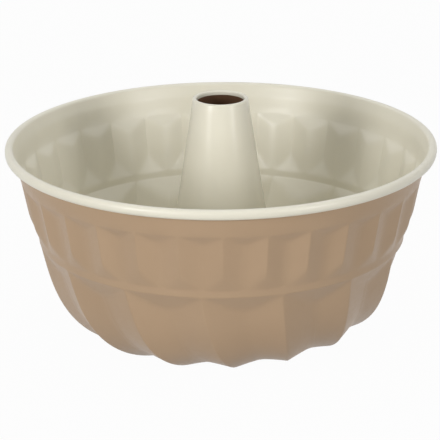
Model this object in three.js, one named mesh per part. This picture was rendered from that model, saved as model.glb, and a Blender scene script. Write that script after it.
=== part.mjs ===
// Fluted tube pan in millimetres, +Z up, standing on z = 0 with its axis on the Z axis.
// Angles are measured from the front, which is -Y, towards +X.
import * as THREE from 'three';

// Sheet and coat. The clearance keeps the coat and the sheet apart as separate solids.
const SHEET = 0.5;
const COAT_CLEARANCE = 0.05;
const COAT = 0.1;

// Curled rim, the conical wall under it, and the flare by which the wall leans out into the curl.
const RIM_DIAMETER = 250;
const CURL_RADIUS = 2.5;
const CURL_CENTRE_Z = 112;
const CURL_DEGREES = [130, 90, 45, 0, -45, -90, -125];
const WALL_TAPER = 0.19;
const RIM_FLARE = 0.95;
const FLARE_HEIGHT = 5;

// Upright flutes in the upper wall, the shoulder that ends them, and the plain ring below.
const FLUTE_COUNT = 30;
const FLUTE_DEPTH = 2.8;
const FLUTE_TOP_Z = 97.8;
const FLUTE_TOP_SLOPE = 0.42;
const SHOULDER_SLOPE = 0.491;
const RING_TOP_Z = 62.5;
const RING_BOTTOM_Z = 58.4;
const RING_BOTTOM_RADIUS = 107.1;

// Swirled lobes from the ring to the floor. Their ridges follow a curve with two handles.
// The depth is the one at the ring: below it, it shrinks with the radius.
const LOBE_COUNT = FLUTE_COUNT / 2;
const LOBE_DEPTH = 4.5;
const LOBE_TOP_SLOPE = 0.375;
const LOBE_SOFTNESS = 0.14;
const LOBE_FADE = 12;
const SWIRL_DEG_PER_MM = 0.356;
const WALL_HANDLE_IN = 4.6;
const WALL_HANDLE_DOWN = 17.9;
const FLOOR_HANDLE_OUT = 43;
const FLOOR_RADIUS = 56;
const LOBE_ROWS = [1, 0.86, 0.72, 0.56, 0.38, 0.2, 0.1];

// Raised collar round the centre hole, with a turned-down skirt that the tube's hem grips.
const COLLAR_RISE = 4;
const COLLAR_BEND = 1;
const COLLAR_FLAT = 3.2;
const COLLAR_SLOPE = 4;

// Centre tube, its rolled lip, and the hem at its foot.
const TUBE_HEIGHT = 140.2;
const TUBE_TOP_RADIUS = 16.1;
const TUBE_TAPER = 0.152;
const TUBE_SIDES = 30;
const LIP_RADIUS = 1.2;
const LIP_DEPTH = 2.4;
const LIP_DEGREES = [180, 135, 90, 45];
const COAT_FOOT_CLEARANCE = 0.3;
const SEAM_CLEARANCE = 0.4;
const HEM_ABOVE_TABLE = 0.4;
const HEM_LEG = 1.3;
const HEM_STEPS = 4;

// Values that follow from the dimensions above.
const COAT_BACK = SHEET + COAT_CLEARANCE;
const COAT_FACE = COAT_BACK + COAT;
const COLUMNS = 2 * FLUTE_COUNT;
const TAPER_ANGLE = Math.atan(WALL_TAPER);
const CURL_CENTRE_R = RIM_DIAMETER / 2 - CURL_RADIUS;
const CURL_BACK_RADIUS = CURL_RADIUS - COAT_FACE;
const WALL_RADIUS = CURL_CENTRE_R - CURL_BACK_RADIUS / Math.cos(TAPER_ANGLE) - RIM_FLARE;
const FLARE_BOTTOM_Z = CURL_CENTRE_Z - FLARE_HEIGHT;
const FLUTE_FOOT_Z = RING_TOP_Z + FLUTE_DEPTH / (SHOULDER_SLOPE - WALL_TAPER);
const FLOOR_TURN = SWIRL_DEG_PER_MM * (RING_BOTTOM_RADIUS - FLOOR_RADIUS);
const TUBE_ANGLE = Math.atan(TUBE_TAPER);
const LIP_CENTRE_R = TUBE_TOP_RADIUS - LIP_RADIUS;
const LIP_CENTRE_Z = TUBE_HEIGHT - LIP_RADIUS;
const COLLAR_FACE_Z = COLLAR_RISE + COAT_FACE;
const HEM_FACE_R = tubeRadius(LIP_RADIUS - COAT - COAT_CLEARANCE, COLLAR_FACE_Z);
const HEM_RADIUS = SEAM_CLEARANCE + SHEET / 2;
const HEM_CENTRE_Z = HEM_ABOVE_TABLE + SHEET + HEM_RADIUS;
const SKIRT_R = HEM_FACE_R + SEAM_CLEARANCE + SHEET;

// Radius of the wall's outer face at a height, before the flutes are pressed in.
function coneRadius(z) {
  return WALL_RADIUS + WALL_TAPER * (z - CURL_CENTRE_Z);
}

// Radius at a height of the tube's face that runs into the lip at the given lip radius.
function tubeRadius(lipRadius, z) {
  return LIP_CENTRE_R + lipRadius / Math.cos(TUBE_ANGLE) + TUBE_TAPER * (LIP_CENTRE_Z - z);
}

// Depth of a flute across its pitch: 0 on the ridge and 1 in the valley, rounded near the valley.
function fluteWave(turns, softness) {
  const t = 2 * Math.abs(turns - Math.round(turns));
  const rounded = 1 - softness / 2 - (1 - t) ** 2 / (2 * softness);
  return (t > 1 - softness ? rounded : t) / (1 - softness / 2);
}

// A row of the body's outer face: its place on the section, its turn, and its recess at an angle.
function plainRow(r, z, turn = 0) {
  return { r, z, turn, swirled: false, recess: () => 0 };
}

function fluteRow(r, z) {
  const drop = coneRadius(z) - r;
  const ramp = FLUTE_TOP_SLOPE * (FLUTE_TOP_Z - z);
  const recess = (degrees) => {
    const valley = FLUTE_DEPTH * fluteWave((degrees * FLUTE_COUNT) / 360, 0.001);
    return Math.max(0, Math.min(valley, ramp) - drop);
  };
  return { r, z, turn: 0, swirled: false, recess };
}

function lobeRow(t) {
  const u = 1 - t;
  const curve = (a, b, c, d) => u ** 3 * a + 3 * u * u * t * b + 3 * u * t * t * c + t ** 3 * d;
  const wallHandle = RING_BOTTOM_RADIUS - WALL_HANDLE_IN;
  const r = curve(RING_BOTTOM_RADIUS, wallHandle, FLOOR_RADIUS + FLOOR_HANDLE_OUT, FLOOR_RADIUS);
  const z = curve(RING_BOTTOM_Z, RING_BOTTOM_Z - WALL_HANDLE_DOWN, 0, 0);
  const ramp = LOBE_TOP_SLOPE * Math.hypot(RING_BOTTOM_RADIUS - r, RING_BOTTOM_Z - z);
  const fade = THREE.MathUtils.smoothstep(r, FLOOR_RADIUS, FLOOR_RADIUS + LOBE_FADE);
  const firstRidge = -180 / FLUTE_COUNT;
  const depth = (LOBE_DEPTH * r) / RING_BOTTOM_RADIUS;
  const recess = (degrees) => {
    const turns = ((degrees - firstRidge) * LOBE_COUNT) / 360;
    return fade * Math.min(depth * fluteWave(turns, LOBE_SOFTNESS), ramp);
  };
  return { r, z, turn: SWIRL_DEG_PER_MM * (RING_BOTTOM_RADIUS - r), swirled: true, recess };
}

// Rows from the skirt in the hole, over the floor and up the wall to the end of the curl.
function bodyRows() {
  const rows = [
    plainRow(SKIRT_R, HEM_CENTRE_Z, FLOOR_TURN),
    plainRow(SKIRT_R, COLLAR_RISE - COLLAR_BEND, FLOOR_TURN),
    plainRow(SKIRT_R + COLLAR_BEND, COLLAR_RISE, FLOOR_TURN),
    plainRow(SKIRT_R + COLLAR_FLAT, COLLAR_RISE, FLOOR_TURN),
    plainRow(SKIRT_R + COLLAR_FLAT + COLLAR_SLOPE, 0, FLOOR_TURN),
    ...LOBE_ROWS.map(lobeRow),
    plainRow(RING_BOTTOM_RADIUS, RING_BOTTOM_Z),
    fluteRow(coneRadius(RING_TOP_Z) - FLUTE_DEPTH, RING_TOP_Z),
  ];
  for (const z of [FLUTE_FOOT_Z, FLUTE_TOP_Z - FLUTE_DEPTH / FLUTE_TOP_SLOPE, FLUTE_TOP_Z]) {
    rows.push(fluteRow(coneRadius(z), z));
  }
  rows.push(plainRow(coneRadius(FLARE_BOTTOM_Z), FLARE_BOTTOM_Z));
  for (const a of [Math.PI - TAPER_ANGLE, ...CURL_DEGREES.map(THREE.MathUtils.degToRad)]) {
    const r = CURL_CENTRE_R + CURL_BACK_RADIUS * Math.cos(a);
    rows.push(plainRow(r, CURL_CENTRE_Z + CURL_BACK_RADIUS * Math.sin(a)));
  }
  return rows;
}

// Points of the body's outer face. A recess is pressed in square to the section.
function bodyGrid(rows) {
  return rows.map((row, i) => {
    const before = rows[Math.max(i - 1, 0)];
    const after = rows[Math.min(i + 1, rows.length - 1)];
    const along = new THREE.Vector2(after.r - before.r, after.z - before.z).normalize();
    return Array.from({ length: COLUMNS }, (_, j) => {
      const degrees = (360 * j) / COLUMNS;
      const depth = row.recess(degrees);
      const r = row.r - along.y * depth;
      const a = THREE.MathUtils.degToRad(degrees + row.turn);
      return new THREE.Vector3(r * Math.sin(a), -r * Math.cos(a), row.z + along.x * depth);
    });
  });
}

// Step from each grid point towards the food side, per millimetre of thickness, mitred at folds.
function thicknessSteps(grid) {
  const cells = grid.slice(1).map((upper, i) => upper.map((p, j) => {
    const k = (j + 1) % COLUMNS;
    const rising = upper[k].clone().sub(grid[i][j]);
    const across = grid[i][k].clone().sub(p);
    return rising.cross(across).normalize();
  }));
  return grid.map((points, i) => points.map((_, j) => {
    const left = (j + COLUMNS - 1) % COLUMNS;
    const touching = [cells[i - 1], cells[i]].filter(Boolean).flatMap((row) => [row[left], row[j]]);
    const step = touching.reduce((sum, n) => sum.add(n), new THREE.Vector3()).normalize();
    const cosine = touching.reduce((sum, n) => sum + n.dot(step), 0) / touching.length;
    return step.divideScalar(Math.max(cosine, 0.6));
  }));
}

// Closed sheet between two depths under the outer face, from a first row to the end of the curl.
function sheetGeometry(body, near, far, first) {
  const { rows, grid, steps } = body;
  const end = grid.length - 1;
  const positions = [];
  for (const depth of [near, far]) {
    for (let i = first; i <= end; i++) {
      grid[i].forEach((p, j) => positions.push(...p.clone().addScaledVector(steps[i][j], depth).toArray()));
    }
  }
  const layer = (end - first + 1) * COLUMNS;
  const at = (side, i, j) => side * layer + (i - first) * COLUMNS + (j % COLUMNS);
  const index = [];
  const face = (corners, order) => index.push(...order.map((c) => corners[c]));
  for (let j = 0; j < COLUMNS; j++) {
    for (let i = first; i < end; i++) {
      const swirled = rows[i].swirled || rows[i + 1].swirled;
      const ridgeOnLeft = swirled ? (j + 1) % 4 < 2 : j % 2 === 0;
      const order = ridgeOnLeft ? [0, 1, 3, 1, 2, 3] : [0, 1, 2, 0, 2, 3];
      const corners = (side) => [at(side, i, j), at(side, i + 1, j), at(side, i + 1, j + 1), at(side, i, j + 1)];
      face(corners(1), order);
      face(corners(0), order.slice().reverse());
    }
    const edge = (i) => [at(0, i, j), at(1, i, j), at(1, i, j + 1), at(0, i, j + 1)];
    face(edge(first), [0, 1, 2, 0, 2, 3]);
    face(edge(end), [3, 2, 0, 2, 1, 0]);
  }
  const geometry = new THREE.BufferGeometry();
  geometry.setAttribute('position', new THREE.Float32BufferAttribute(positions, 3));
  geometry.setIndex(index);
  geometry.computeVertexNormals();
  return geometry;
}

// Half section of the tube's lip: up its turned-in edge and over the roll to the cone.
function lipPath(radius) {
  const points = [new THREE.Vector2(LIP_CENTRE_R - radius, TUBE_HEIGHT - LIP_DEPTH)];
  for (const a of [...LIP_DEGREES.map(THREE.MathUtils.degToRad), TUBE_ANGLE]) {
    points.push(new THREE.Vector2(LIP_CENTRE_R + radius * Math.cos(a), LIP_CENTRE_Z + radius * Math.sin(a)));
  }
  return points;
}

// Foot of the tube: down past the collar, round under the skirt and up outside it.
function hemPath(faceRadius, turnRadius) {
  const centre = HEM_FACE_R + HEM_RADIUS;
  const points = [new THREE.Vector2(faceRadius, COLLAR_FACE_Z)];
  for (let i = 0; i <= HEM_STEPS; i++) {
    const a = Math.PI * (1 + i / HEM_STEPS);
    points.push(new THREE.Vector2(centre + turnRadius * Math.cos(a), HEM_CENTRE_Z + turnRadius * Math.sin(a)));
  }
  points.push(new THREE.Vector2(centre + turnRadius, HEM_CENTRE_Z + HEM_LEG));
  return points;
}

// Ring solid between a back face and a food face, both running from the lip to the foot.
function ringGeometry(back, food) {
  const outline = [...back, ...food.slice().reverse(), back[0]];
  return new THREE.LatheGeometry(outline, TUBE_SIDES).rotateX(Math.PI / 2);
}

function tubeSheetGeometry() {
  const faceLip = LIP_RADIUS - COAT - COAT_CLEARANCE;
  const food = [...lipPath(faceLip), ...hemPath(HEM_FACE_R, HEM_RADIUS)];
  const back = [...lipPath(faceLip - SHEET), ...hemPath(HEM_FACE_R - SHEET, HEM_RADIUS + SHEET)];
  return ringGeometry(back, food);
}

function tubeCoatGeometry() {
  const foot = COLLAR_FACE_Z + COAT_FOOT_CLEARANCE;
  const face = (radius) => [...lipPath(radius), new THREE.Vector2(tubeRadius(radius, foot), foot)];
  return ringGeometry(face(LIP_RADIUS - COAT), face(LIP_RADIUS));
}

function piece(name, geometry, colour, roughness, metalness) {
  const mesh = new THREE.Mesh(geometry, new THREE.MeshStandardMaterial({ color: colour, roughness, metalness }));
  mesh.name = name;
  return mesh;
}

const rows = bodyRows();
const grid = bodyGrid(rows);
const body = { rows, grid, steps: thicknessSteps(grid) };
const COAT_FIRST_ROW = 2;

const pan = new THREE.Group();
pan.name = 'tube_pan';
pan.add(piece('pan_body', sheetGeometry(body, 0, SHEET, 0), '#b0967c', 0.45, 0.1));
pan.add(piece('pan_lining', sheetGeometry(body, COAT_BACK, COAT_FACE, COAT_FIRST_ROW), '#e4ddc8', 0.35, 0));
pan.add(piece('centre_tube', tubeSheetGeometry(), '#a1866d', 0.45, 0.1));
pan.add(piece('tube_lining', tubeCoatGeometry(), '#e4ddc8', 0.35, 0));

export default pan;
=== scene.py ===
"""Fluted tube pan: a pressed body and a tapered tube of coated steel sheet, folded together at the foot.

Lengths in the shape functions are millimetres. Angles run from the front, which is -Y, towards +X.
"""

import math

import bpy
import numpy as np
from mathutils import Matrix, Vector


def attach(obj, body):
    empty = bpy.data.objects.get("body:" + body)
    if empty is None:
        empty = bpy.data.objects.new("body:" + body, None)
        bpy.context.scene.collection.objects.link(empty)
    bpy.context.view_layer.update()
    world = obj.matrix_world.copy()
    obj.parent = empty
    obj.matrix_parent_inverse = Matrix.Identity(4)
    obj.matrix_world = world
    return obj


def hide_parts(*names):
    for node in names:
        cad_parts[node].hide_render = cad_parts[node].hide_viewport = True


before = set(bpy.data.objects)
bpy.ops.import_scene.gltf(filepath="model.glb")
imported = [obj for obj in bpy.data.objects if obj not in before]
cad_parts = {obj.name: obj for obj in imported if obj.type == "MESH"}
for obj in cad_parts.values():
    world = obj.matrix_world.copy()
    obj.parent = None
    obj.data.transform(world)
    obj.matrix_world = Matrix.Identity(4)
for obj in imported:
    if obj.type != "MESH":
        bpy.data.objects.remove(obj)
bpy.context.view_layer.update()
scene = bpy.context.scene

# Sheet and coat, with the clearance that keeps them apart.
SHEET = 0.5
COAT = 0.1
COAT_CLEARANCE = 0.05
COAT_BACK = SHEET + COAT_CLEARANCE
COAT_FACE = COAT_BACK + COAT

# Curled rim, the cone of the upper wall and the flare that leads it into the curl.
RIM_RADIUS = 125
CURL_RADIUS = 2.5
CURL_CENTRE_R = RIM_RADIUS - CURL_RADIUS
CURL_TOP_Z = 114.5
CURL_HALF_HEIGHT = 2.8
CURL_CENTRE_Z = CURL_TOP_Z - CURL_HALF_HEIGHT
CURL_SQUARENESS = 2.6
CURL_START_DEG = 150
CURL_END_DEG = -125
CURL_ROWS = 25
CURL_BACK_RADIUS = CURL_RADIUS - COAT_FACE
WALL_TAPER = 0.19
WALL_RADIUS = 119.667
WALL_TOP_Z = 112
FLARE_SLOPE = 0.364
FLARE_BOTTOM_Z = 107
FLARE_BEND = 0.2

# Upright flutes, the shoulder that ends them and the plain ring.
FLUTE_COUNT = 30
FLUTE_TURN_DEG = 0.42
FLUTE_DEPTH = 2.8
FLUTE_TOP_Z = 96.8
FLUTE_TOP_SLOPE = 0.55
FLUTE_VALLEY = 0.34
FLUTE_BEND = 1.3
SHOULDER_SLOPE = 0.491
SHOULDER_BEND = 1.1
RING_TOP_Z = 62.5
RING_BOTTOM_Z = 58.4
RING_BOTTOM_RADIUS = 107.1
RING_BEND = 0.25
FLUTE_FOOT_Z = RING_TOP_Z + FLUTE_DEPTH / (SHOULDER_SLOPE - WALL_TAPER)

# Share of the half pitch that is rounded at the ridges of flutes and lobes.
RIDGE = 0.03

# Swirled lobes that run under the pan, and the flat floor ring. Their depth shrinks with the radius.
LOBE_COUNT = 15
LOBE_DEPTH = 4.5
LOBE_TOP_SLOPE = 0.375
LOBE_VALLEY = 0.14
LOBE_BEND = 0.8
LOBE_FADE = 12
SWIRL_DEG_PER_MM = 0.356
FLOOR_RADIUS = 56
FLOOR_INNER_RADIUS = 51
WALL_HANDLE = (102.5, 40.5)
FLOOR_HANDLE = (99, 0)
LOBE_CURVE = ((RING_BOTTOM_RADIUS, RING_BOTTOM_Z), WALL_HANDLE, FLOOR_HANDLE, (FLOOR_RADIUS, 0))

# Centre tube with its rolled lip, and the folded seam at its foot.
TUBE_HEIGHT = 140.2
TUBE_TOP_RADIUS = 16.1
TUBE_TAPER = 0.152
TUBE_ANGLE = math.atan(TUBE_TAPER)
TUBE_SIDES = 160
LIP_RADIUS = 1.2
SHEET_LIP = LIP_RADIUS - COAT - COAT_CLEARANCE
LIP_DEPTH = 2.4
LIP_CENTRE_R = TUBE_TOP_RADIUS - LIP_RADIUS
LIP_CENTRE_Z = TUBE_HEIGHT - LIP_RADIUS
COLLAR_RISE = 4
COLLAR_FLAT = 3.2
COLLAR_SLOPE = 4
COLLAR_BENDS = (0.9, 1.6, 2)
COLLAR_FACE_Z = COLLAR_RISE + COAT_FACE
COAT_FOOT_CLEARANCE = 0.3
COAT_FOOT_Z = COLLAR_FACE_Z + COAT_FOOT_CLEARANCE
SEAM_CLEARANCE = 0.4
HEM_ABOVE_TABLE = 0.4
HEM_FACE_R = LIP_CENTRE_R + SHEET_LIP / math.cos(TUBE_ANGLE) + TUBE_TAPER * (LIP_CENTRE_Z - COLLAR_FACE_Z)
HEM_RADIUS = SEAM_CLEARANCE + SHEET / 2
HEM_CENTRE_Z = HEM_ABOVE_TABLE + SHEET + HEM_RADIUS
HEM_CENTRE_R = HEM_FACE_R + HEM_RADIUS
HEM_LEG = 1.3
SKIRT_R = HEM_FACE_R + SEAM_CLEARANCE + SHEET

# Size of the faint clouds in the colour of every coat.
CLOUD_MM = 34

# Columns across half a flute and rows up the wall, as shares, closer where the sheet bends.
HALF_FLUTE = (0, 0.03, 0.085, 0.34, 0.64, 0.85, 0.95)
RING_ROWS = 6
SHOULDER_ROWS = (0.22, 0.45, 0.68, 0.86, 0.96)
FLUTE_ROWS = (0.01, 0.028, 0.06, 0.13, 0.3, 0.5, 0.7, 0.87, 0.94, 0.972, 0.99)
FLUTE_TOP_ROWS = (0.04, 0.2, 0.42, 0.68, 1)
CONE_HEIGHTS = (101.5, 104.5, 105.8, 106.6, 107.4, 108.2, 110, WALL_TOP_Z)
LEAST_SHOULDER = 1.2
LEAST_FLUTE_TOP = 0.5
ABOVE_FLUTES = 0.7

# Rows round the lip and the hem and down the cone of the tube, and how far below the lip the first one lies.
BEND_ROWS = 13
TUBE_ROWS = 24
TUBE_FIRST_ROW = 4

# Edges sharper than this angle are shaded as edges.
SHARP_DEG = 50


def smooth_min(a, b, width):
    """Lower of two profiles, with the crease between them rounded over the given width."""
    h = np.clip(0.5 + 0.5 * (b - a) / width, 0, 1)
    return b * (1 - h) + a * h - width * h * (1 - h)


def pressed_wave(turns, valley, ridge):
    """Depth across a flute: 0 on the ridge, 1 in the valley, each rounded by a share of the half pitch."""
    t = 2 * np.abs(turns - np.round(turns))
    t = (np.sqrt(t * t + ridge * ridge) - ridge) / (math.sqrt(1 + ridge * ridge) - ridge)
    bowl = 1 - valley / 2 - (1 - t) ** 2 / (2 * valley)
    return np.where(t > 1 - valley, bowl, t) / (1 - valley / 2)


def facet_dip(turns, count):
    """Extra depth, per unit of radius, that lays each side of a flute flat instead of round the axis."""
    t = 2 * np.abs(turns - np.round(turns))
    return 4 * t * (1 - t) * (1 - math.cos(math.pi / (2 * count)))


def rounded_path(corners, steps=4):
    """Line through (r, z, bend radius) corners, each bend drawn as an arc in the given steps."""
    points = []
    for i, (r, z, bend) in enumerate(corners):
        here = np.array((r, z), float)
        if bend == 0 or i in (0, len(corners) - 1):
            points.append(here)
            continue
        before = np.array(corners[i - 1][:2], float) - here
        after = np.array(corners[i + 1][:2], float) - here
        before /= np.linalg.norm(before)
        after /= np.linalg.norm(after)
        half = math.acos(np.clip(before @ after, -1, 1)) / 2
        middle = before + after
        centre = here + middle / np.linalg.norm(middle) * bend / math.sin(half)
        start = here + before * bend / math.tan(half) - centre
        end = here + after * bend / math.tan(half) - centre
        sweep = math.atan2(start[0] * end[1] - start[1] * end[0], start @ end)
        for k in range(steps + 1):
            c, s = math.cos(sweep * k / steps), math.sin(sweep * k / steps)
            points.append(centre + (start[0] * c - start[1] * s, start[0] * s + start[1] * c))
    return points


def flute_columns():
    """Angles of the columns in degrees, bunched at every ridge and valley of the flutes."""
    out = np.array(HALF_FLUTE)
    back = np.concatenate(([1], 2 - out[:0:-1]))
    pitch = 360 / FLUTE_COUNT
    pair = np.concatenate((out, back)) * pitch / 2
    return (np.arange(FLUTE_COUNT)[:, None] * pitch + pair).ravel()


def collar_rows(columns):
    """Skirt in the centre hole, the raised collar and the flat floor ring, with their radius and height."""
    path = rounded_path([
        (SKIRT_R, HEM_CENTRE_Z, 0),
        (SKIRT_R, COLLAR_RISE, COLLAR_BENDS[0]),
        (SKIRT_R + COLLAR_FLAT, COLLAR_RISE, COLLAR_BENDS[1]),
        (SKIRT_R + COLLAR_FLAT + COLLAR_SLOPE, 0, COLLAR_BENDS[2]),
        (FLOOR_INNER_RADIUS, 0, 0),
    ])
    r, z = np.array(path).T
    flat = np.ones(len(columns))
    turn = SWIRL_DEG_PER_MM * (RING_BOTTOM_RADIUS - FLOOR_RADIUS)
    return np.outer(r, flat), np.outer(z, flat), np.full((len(r), len(columns)), turn)


def lobe_rows(columns):
    """Swirled lobes from the floor ring up to the plain ring, pressed in square to their ridge curve."""
    # Places along the curve from the floor up, closer below the ring where the lobes begin.
    t = np.concatenate((np.linspace(1, 0.09, 30), np.linspace(0.078, 0.008, 9)))
    u = 1 - t
    weights = np.array((u ** 3, 3 * u * u * t, 3 * u * t * t, t ** 3))
    r, z = np.array(LOBE_CURVE, float).T @ weights
    slopes = np.array((3 * u * u, 6 * u * t, 3 * t * t))
    along = np.diff(np.array(LOBE_CURVE, float), axis=0).T @ slopes
    along /= np.linalg.norm(along, axis=0)
    reach = np.hypot(RING_BOTTOM_RADIUS - r, RING_BOTTOM_Z - z)
    fade = np.clip((r - FLOOR_RADIUS) / LOBE_FADE, 0, 1)
    fade = fade * fade * (3 - 2 * fade)
    turns = (columns + 180 / FLUTE_COUNT) * LOBE_COUNT / 360
    wave = LOBE_DEPTH / RING_BOTTOM_RADIUS * pressed_wave(turns, LOBE_VALLEY, RIDGE)
    lobe = np.outer(r, wave + facet_dip(turns, LOBE_COUNT))
    ramp = LOBE_TOP_SLOPE * reach
    depth = fade[:, None] * np.maximum(smooth_min(lobe, ramp[:, None], LOBE_BEND), 0)
    turn = SWIRL_DEG_PER_MM * (RING_BOTTOM_RADIUS - r)
    inset_r = r[:, None] + along[1][:, None] * depth
    inset_z = z[:, None] - along[0][:, None] * depth
    return inset_r, inset_z, turn[:, None] + 0 * depth


def wall_rows(columns):
    """Plain ring, shoulder, upright flutes and plain cone. Rows follow the creases, so these stay crisp."""
    turns = columns * FLUTE_COUNT / 360
    valley = FLUTE_DEPTH * pressed_wave(turns, FLUTE_VALLEY, RIDGE)
    valley += RING_BOTTOM_RADIUS * facet_dip(turns, FLUTE_COUNT)
    foot = np.maximum(FLUTE_FOOT_Z - valley / (SHOULDER_SLOPE - WALL_TAPER), RING_TOP_Z + LEAST_SHOULDER)
    top = FLUTE_TOP_Z - np.maximum(valley / FLUTE_TOP_SLOPE, LEAST_FLUTE_TOP)
    ring_heights = np.linspace(RING_BOTTOM_Z, RING_TOP_Z, RING_ROWS)
    z = [np.full(len(columns), v) for v in ring_heights]
    z += [RING_TOP_Z + f * (foot - RING_TOP_Z) for f in SHOULDER_ROWS]
    z += [foot + f * (top - foot) for f in FLUTE_ROWS]
    z += [top + f * (FLUTE_TOP_Z + ABOVE_FLUTES - top) for f in FLUTE_TOP_ROWS]
    z += [np.full(len(columns), v) for v in CONE_HEIGHTS]
    z = np.array(z)
    cone = WALL_RADIUS + WALL_TAPER * (z - WALL_TOP_Z)
    flare = (FLARE_SLOPE - WALL_TAPER) * (z - FLARE_BOTTOM_Z)
    cone -= smooth_min(-flare, 0 * z, FLARE_BEND)
    ring_top_r = WALL_RADIUS + WALL_TAPER * (RING_TOP_Z - WALL_TOP_Z) - FLUTE_DEPTH
    shoulder = ring_top_r + SHOULDER_SLOPE * (z - RING_TOP_Z)
    ring_slope = (ring_top_r - RING_BOTTOM_RADIUS) / (RING_TOP_Z - RING_BOTTOM_Z)
    ring = RING_BOTTOM_RADIUS + ring_slope * (z - RING_BOTTOM_Z)
    ramp = FLUTE_TOP_SLOPE * (FLUTE_TOP_Z - z)
    flute = np.maximum(smooth_min(valley[None, :] + 0 * z, ramp, FLUTE_BEND), 0)
    upper = smooth_min(shoulder, cone - flute, SHOULDER_BEND)
    r = -smooth_min(-ring, -upper, RING_BEND)
    turn = FLUTE_TURN_DEG * np.clip((z - RING_BOTTOM_Z) / (RING_TOP_Z - RING_BOTTOM_Z), 0, 1)
    return r, z, turn


def curl_rows(columns):
    """Outward curl of the rim, an oval that is a little squared."""
    a = np.radians(np.linspace(CURL_START_DEG, CURL_END_DEG, CURL_ROWS))
    flat = np.ones(len(columns))
    c, s = np.cos(a), np.sin(a)
    round_off = (np.abs(c) ** CURL_SQUARENESS + np.abs(s) ** CURL_SQUARENESS) ** (-1 / CURL_SQUARENESS)
    r = np.outer(CURL_CENTRE_R + CURL_BACK_RADIUS * c * round_off, flat)
    z = np.outer(CURL_CENTRE_Z + (CURL_HALF_HEIGHT - COAT_FACE) * s * round_off, flat)
    return r, z, FLUTE_TURN_DEG + 0 * z


def body_face():
    """Grid of the body's outer face, from the skirt to the end of the curl, and its inward normals."""
    columns = flute_columns()
    parts = [make(columns) for make in (collar_rows, lobe_rows, wall_rows, curl_rows)]
    r, z, turn = (np.concatenate(rows) for rows in zip(*parts))
    a = np.radians(columns[None, :] + turn)
    grid = np.stack((r * np.sin(a), -r * np.cos(a), z), axis=-1)
    rising = np.gradient(grid, axis=0)
    across = np.roll(grid, -1, axis=1) - np.roll(grid, 1, axis=1)
    inward = np.cross(rising, across)
    return grid, inward / np.linalg.norm(inward, axis=-1, keepdims=True)


def sheet_piece(name, near, far):
    """Closed sheet between two grids of the same rows and columns, with its two edges."""
    rows, columns = near.shape[:2]
    index = np.arange(rows * columns).reshape(rows, columns)
    ahead = np.roll(index, -1, axis=1)
    layer = rows * columns
    under = np.stack((index[:-1], ahead[:-1], ahead[1:], index[1:]), axis=-1).reshape(-1, 4)
    over = under[:, ::-1] + layer
    first = np.stack((index[0], index[0] + layer, ahead[0] + layer, ahead[0]), axis=-1)
    last = np.stack((index[-1], ahead[-1], ahead[-1] + layer, index[-1] + layer), axis=-1)
    points = np.concatenate((near.reshape(-1, 3), far.reshape(-1, 3))) / 1000
    mesh = bpy.data.meshes.new(name)
    mesh.from_pydata(points.tolist(), [], np.concatenate((under, over, first, last)).tolist())
    mesh.polygons.foreach_set("use_smooth", np.ones(len(mesh.polygons), bool))
    mesh.set_sharp_from_angle(angle=math.radians(SHARP_DEG))
    mesh.update()
    piece = bpy.data.objects.new(name, mesh)
    scene.collection.objects.link(piece)
    return piece


def turned_grid(path):
    """Rows of a path of (r, z) turned round the axis."""
    a = np.arange(TUBE_SIDES) * 2 * math.pi / TUBE_SIDES
    flat = np.ones(TUBE_SIDES)
    r, z = np.array(path, float).T
    return np.stack((np.outer(r, np.sin(a)), -np.outer(r, np.cos(a)), np.outer(z, flat)), axis=-1)


def lip_path(radius):
    """Tube's lip: up its turned-in edge and over the roll to the cone."""
    points = [(LIP_CENTRE_R - radius, TUBE_HEIGHT - LIP_DEPTH)]
    for a in np.linspace(math.pi, TUBE_ANGLE, BEND_ROWS):
        points.append((LIP_CENTRE_R + radius * math.cos(a), LIP_CENTRE_Z + radius * math.sin(a)))
    return points


def cone_path(radius, foot):
    """Tube's cone below the lip, down to a height, in even steps."""
    r = LIP_CENTRE_R + radius / math.cos(TUBE_ANGLE)
    heights = np.linspace(LIP_CENTRE_Z - TUBE_FIRST_ROW, foot, TUBE_ROWS)
    return [(r + TUBE_TAPER * (LIP_CENTRE_Z - z), z) for z in heights]


def hem_path(radius):
    """Tube's foot: down past the collar, round under the skirt and up outside it."""
    points = []
    for a in np.linspace(math.pi, 2 * math.pi, BEND_ROWS):
        points.append((HEM_CENTRE_R + radius * math.cos(a), HEM_CENTRE_Z + radius * math.sin(a)))
    return points + [(HEM_CENTRE_R + radius, HEM_CENTRE_Z + HEM_LEG)]


def linear(code):
    """Linear colour of an sRGB hex code."""
    values = [int(code[i:i + 2], 16) / 255 for i in (1, 3, 5)]
    return [v / 12.92 if v <= 0.04045 else ((v + 0.055) / 1.055) ** 2.4 for v in values] + [1]


def put(tree, kind, inputs=None, **settings):
    """Adds a node with its settings; an input is a value or another node's output."""
    node = tree.nodes.new(kind)
    for name, value in settings.items():
        setattr(node, name, value)
    for key, value in (inputs or {}).items():
        if isinstance(value, bpy.types.NodeSocket):
            tree.links.new(value, node.inputs[key])
        else:
            node.inputs[key].default_value = value
    return node


def noise(tree, place, size_mm, detail, roughness):
    """Noise over the object, with blotches of a size in millimetres."""
    settings = {"Vector": place, "Scale": 1000 / size_mm, "Detail": detail, "Roughness": roughness}
    return put(tree, "ShaderNodeTexNoise", settings).outputs[0]


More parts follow.
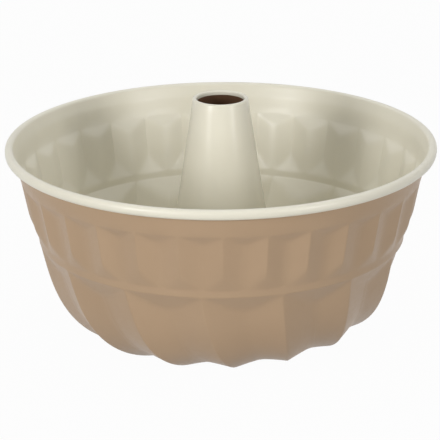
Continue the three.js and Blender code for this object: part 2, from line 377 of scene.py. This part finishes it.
def stoved_coat(name, pale, deep, rough, peel_mm, peel_depth_mm, ior):
    """Sprayed and stoved coat: flows out to a soft orange peel, with a faint cloud in its colour."""
    material = bpy.data.materials.new(name)
    material.use_nodes = True
    tree = material.node_tree
    tree.nodes.clear()
    place = put(tree, "ShaderNodeTexCoord").outputs["Object"]
    cloud = noise(tree, place, CLOUD_MM, 3, 0.55)
    tone = put(tree, "ShaderNodeMix", {0: cloud, 6: linear(pale), 7: linear(deep)}, data_type="RGBA")
    peel = noise(tree, place, peel_mm, 2, 0.5)
    low, high = rough
    gloss = put(tree, "ShaderNodeMapRange", {0: peel, 1: 0.3, 2: 0.7, 3: low, 4: high})
    bump = put(tree, "ShaderNodeBump", {"Height": peel, "Strength": 1, "Distance": peel_depth_mm / 1000})
    shader = put(tree, "ShaderNodeBsdfPrincipled", {
        "Base Color": tone.outputs[2],
        "Roughness": gloss.outputs[0],
        "IOR": ior,
        "Normal": bump.outputs[0],
    })
    put(tree, "ShaderNodeOutputMaterial", {"Surface": shader.outputs[0]})
    return material


# Tan silicone polyester on the outside: satin, with pale reflections where the wall turns away.
tan_enamel = stoved_coat(
    "tan_silicone_polyester", "#b69b7e", "#ae9376",
    rough=(0.36, 0.44), peel_mm=2.4, peel_depth_mm=0.001, ior=1.42,
)
# Cream ceramic-filled coat on the food side: smoother, semi-gloss.
cream_ceramic = stoved_coat(
    "cream_ceramic_nonstick", "#e8e4d4", "#e2ddcb",
    rough=(0.32, 0.38), peel_mm=3.2, peel_depth_mm=0.0008, ior=1.5,
)
# The same cream on the rolled tube, where the sheet is not stretched and the coat stays glossier.
tube_ceramic = stoved_coat(
    "cream_ceramic_on_tube", "#e8e4d4", "#e2ddcb",
    rough=(0.2, 0.26), peel_mm=3.2, peel_depth_mm=0.0004, ior=1.42,
)
# Bore of the tube: the same tan coat, its colour darkened to brown as painted shade for the dim inside of
# the bore.
bore_coat_painted_shade = stoved_coat(
    "tan_coat_with_painted_bore_shade", "#836249", "#72553f",
    rough=(0.4, 0.5), peel_mm=2.4, peel_depth_mm=0.001, ior=1.5,
)


def dress(piece, material, node):
    """Gives a piece its coat and sets it in the place of its CAD node."""
    piece.data.materials.append(material)
    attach(piece, "root")
    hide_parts(node)


face, inward = body_face()
dress(sheet_piece("pressed_body", face, face + SHEET * inward), tan_enamel, "pan_body")
# The coat starts where the skirt has turned over into the collar.
first_coated = 5
food_face, food_normal = face[first_coated:], inward[first_coated:]
lining = sheet_piece("body_coat", food_face + COAT_BACK * food_normal, food_face + COAT_FACE * food_normal)
dress(lining, cream_ceramic, "pan_lining")

food = lip_path(SHEET_LIP) + cone_path(SHEET_LIP, COLLAR_FACE_Z) + hem_path(HEM_RADIUS)
back = lip_path(SHEET_LIP - SHEET) + cone_path(SHEET_LIP - SHEET, COLLAR_FACE_Z)
back += hem_path(HEM_RADIUS + SHEET)
tube = sheet_piece("rolled_tube", turned_grid(back), turned_grid(food))
# The bore side of the tube sheet takes the tan coat darkened as painted shade.
dress(tube, bore_coat_painted_shade, "centre_tube")
coat_outside = lip_path(LIP_RADIUS) + cone_path(LIP_RADIUS, COAT_FOOT_Z)
coat_inside = lip_path(LIP_RADIUS - COAT) + cone_path(LIP_RADIUS - COAT, COAT_FOOT_Z)
coat = sheet_piece("tube_coat", turned_grid(coat_inside), turned_grid(coat_outside))
dress(coat, tube_ceramic, "tube_lining")


def seen_rays(tree):
    """1 for rays that are seen, straight or mirrored or through glass, and 0 for the rest of the light."""
    path = put(tree, "ShaderNodeLightPath")
    seen = put(tree, "ShaderNodeMath", {0: path.outputs["Is Camera Ray"], 1: path.outputs["Is Glossy Ray"]})
    through = path.outputs["Is Transmission Ray"]
    return put(tree, "ShaderNodeMath", {0: seen.outputs[0], 1: through}, use_clamp=True).outputs[0]


def studio_white(name, share):
    """White paper that looks white to the camera and in reflections, and still takes some shadow."""
    material = bpy.data.materials.new(name)
    material.use_nodes = True
    tree = material.node_tree
    tree.nodes.clear()
    fade = put(tree, "ShaderNodeMath", {0: seen_rays(tree), 1: share}, operation="MULTIPLY")
    paper = put(tree, "ShaderNodeBsdfDiffuse", {"Color": linear("#b4b4b4")})
    glow = put(tree, "ShaderNodeEmission", {"Color": (1, 1, 1, 1), "Strength": 1})
    mix = put(tree, "ShaderNodeMixShader", {0: fade.outputs[0], 1: paper.outputs[0], 2: glow.outputs[0]})
    put(tree, "ShaderNodeOutputMaterial", {"Surface": mix.outputs[0]})
    return material


def paper_floor():
    """Large sheet of white paper under the pan."""
    mesh = bpy.data.meshes.new("paper_floor")
    reach = 6  # metres to each side
    corners = [(-reach, -reach, 0), (reach, -reach, 0), (reach, reach, 0), (-reach, reach, 0)]
    mesh.from_pydata(corners, [], [(0, 1, 2, 3)])
    mesh.materials.append(studio_white("white_paper", share=0.97))
    floor = bpy.data.objects.new("paper_floor", mesh)
    # A little under the table's level, so that paper and pan never share a plane.
    floor.location.z = -0.0002
    scene.collection.objects.link(floor)


def soft_box(name, bearing, height, distance, size, watts):
    """Soft box of a width and height pointed at the pan, from a bearing and a height in degrees."""
    b, h = math.radians(bearing), math.radians(height)
    aim = Vector((0, 0, 0.07))
    towards = Vector((math.sin(b) * math.cos(h), -math.cos(b) * math.cos(h), math.sin(h)))
    light = bpy.data.lights.new(name, "AREA")
    light.shape = "RECTANGLE"
    light.size, light.size_y = size
    light.energy = watts
    lamp = bpy.data.objects.new(name, light)
    lamp.location = aim + towards * distance
    lamp.rotation_euler = (-towards).to_track_quat("-Z", "Y").to_euler()
    scene.collection.objects.link(lamp)
    return lamp


def white_surround(level):
    """White studio round the pan that lights it at a level; the camera and reflections see plain white."""
    world = bpy.data.worlds.new("white_surround")
    scene.world = world
    world.use_nodes = True
    tree = world.node_tree
    tree.nodes.clear()
    strength = put(tree, "ShaderNodeMapRange", {0: seen_rays(tree), 3: level, 4: 1})
    light = put(tree, "ShaderNodeBackground", {"Color": (1, 1, 1, 1), "Strength": strength.outputs[0]})
    put(tree, "ShaderNodeOutputWorld", {"Surface": light.outputs[0]})


def photo_camera():
    """Camera at the photograph's place: 1.15 m in front of the axis, looking down by about 20 degrees."""
    pitch, roll, yaw = 0.34307, -0.0069185, -0.000666
    forward = Vector((math.sin(yaw) * math.cos(pitch), math.cos(yaw) * math.cos(pitch), -math.sin(pitch)))
    right = Vector((math.cos(yaw), -math.sin(yaw), 0))
    up = right.cross(forward)
    across = right * math.cos(roll) + up * math.sin(roll)
    upward = up * math.cos(roll) - right * math.sin(roll)
    view = bpy.data.cameras.new("photo_camera")
    view.sensor_width = 36
    view.lens = 169.8
    camera = bpy.data.objects.new("photo_camera", view)
    matrix = Matrix((across, upward, -forward)).transposed().to_4x4()
    matrix.translation = Vector((0, -1.1505, 0.4761))
    camera.matrix_world = matrix
    scene.collection.objects.link(camera)
    scene.camera = camera


# Two boxes beside the camera and one overhead light the pan. The strips show in the gloss of the tube, the
# fill stands for light that white paper throws back, and the last box lifts the rim from behind.
paper_floor()
white_surround(level=0.26)
soft_box("front_left_box", -41, 16, 1.35, (0.36, 0.42), 6.1)
soft_box("front_right_box", 43, 16, 1.35, (0.3, 0.3), 3.6)
soft_box("top_box", 0, 80, 1.5, (1.0, 1.0), 4.9)
soft_box("left_strip", -44, 2, 1.35, (0.3, 0.5), 1.4)
soft_box("right_strip", 47, 2, 1.35, (0.22, 0.5), 1.4)
fill = soft_box("front_fill", -12, 2, 1.2, (1.0, 0.3), 2.4)
fill.visible_glossy = False
soft_box("back_box", 180, 50, 1.5, (1.2, 0.8), 4.6)
photo_camera()
scene.view_settings.view_transform = "Standard"
